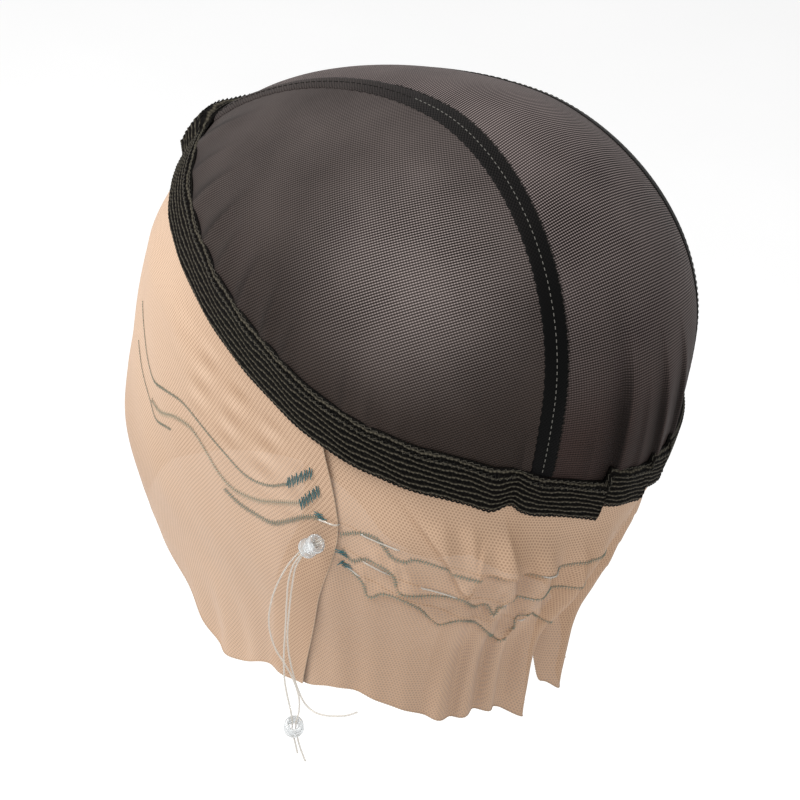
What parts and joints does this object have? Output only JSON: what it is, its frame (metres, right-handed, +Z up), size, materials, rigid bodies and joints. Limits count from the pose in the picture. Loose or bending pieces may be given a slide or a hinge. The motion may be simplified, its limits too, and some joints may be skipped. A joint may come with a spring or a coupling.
{
  "type": "wig cap",
  "caption": "Stretch cap worn under a wig: a seamed mesh crown, a ribbed elastic band and a sheer lace skirt, gathered at the nape by clear elastic with hanging ends and stoppers.",
  "frame": {"origin": "the inner face of the crown at the top, in the middle, where the cap rests on what it is stretched over", "axes": "+Z up, -Y the way the wearer faces, +X the wearer's left"},
  "size_m": [0.1598, 0.208, 0.2146],
  "materials": {
    "crown_mesh": "sheer stretch net, matte",
    "seam_cloth": "doubled net, stitched",
    "band_elastic": "ribbed woven elastic, matte",
    "lace": "fine hexagonal net, sheer",
    "clear_elastic": "clear, smooth",
    "clear_plastic": "clear, glossy"
  },
  "bodies": {
    "root": {"crown_centre": "crown_mesh", "crown_left": "crown_mesh", "crown_right": "crown_mesh", "seam_tape_left": "seam_cloth", "seam_tape_right": "seam_cloth", "elastic_band": "band_elastic", "lace_front": "lace", "lace_back": "lace", "nape_cord_upper": "clear_elastic", "nape_cord_middle": "clear_elastic", "nape_cord_lower": "clear_elastic", "stopper_upper": "clear_plastic", "stopper_lower": "clear_plastic", "hanging_cord_front": "clear_elastic", "hanging_cord_back": "clear_elastic", "hanging_cord_loose": "clear_elastic"}
  },
  "joints": []
}
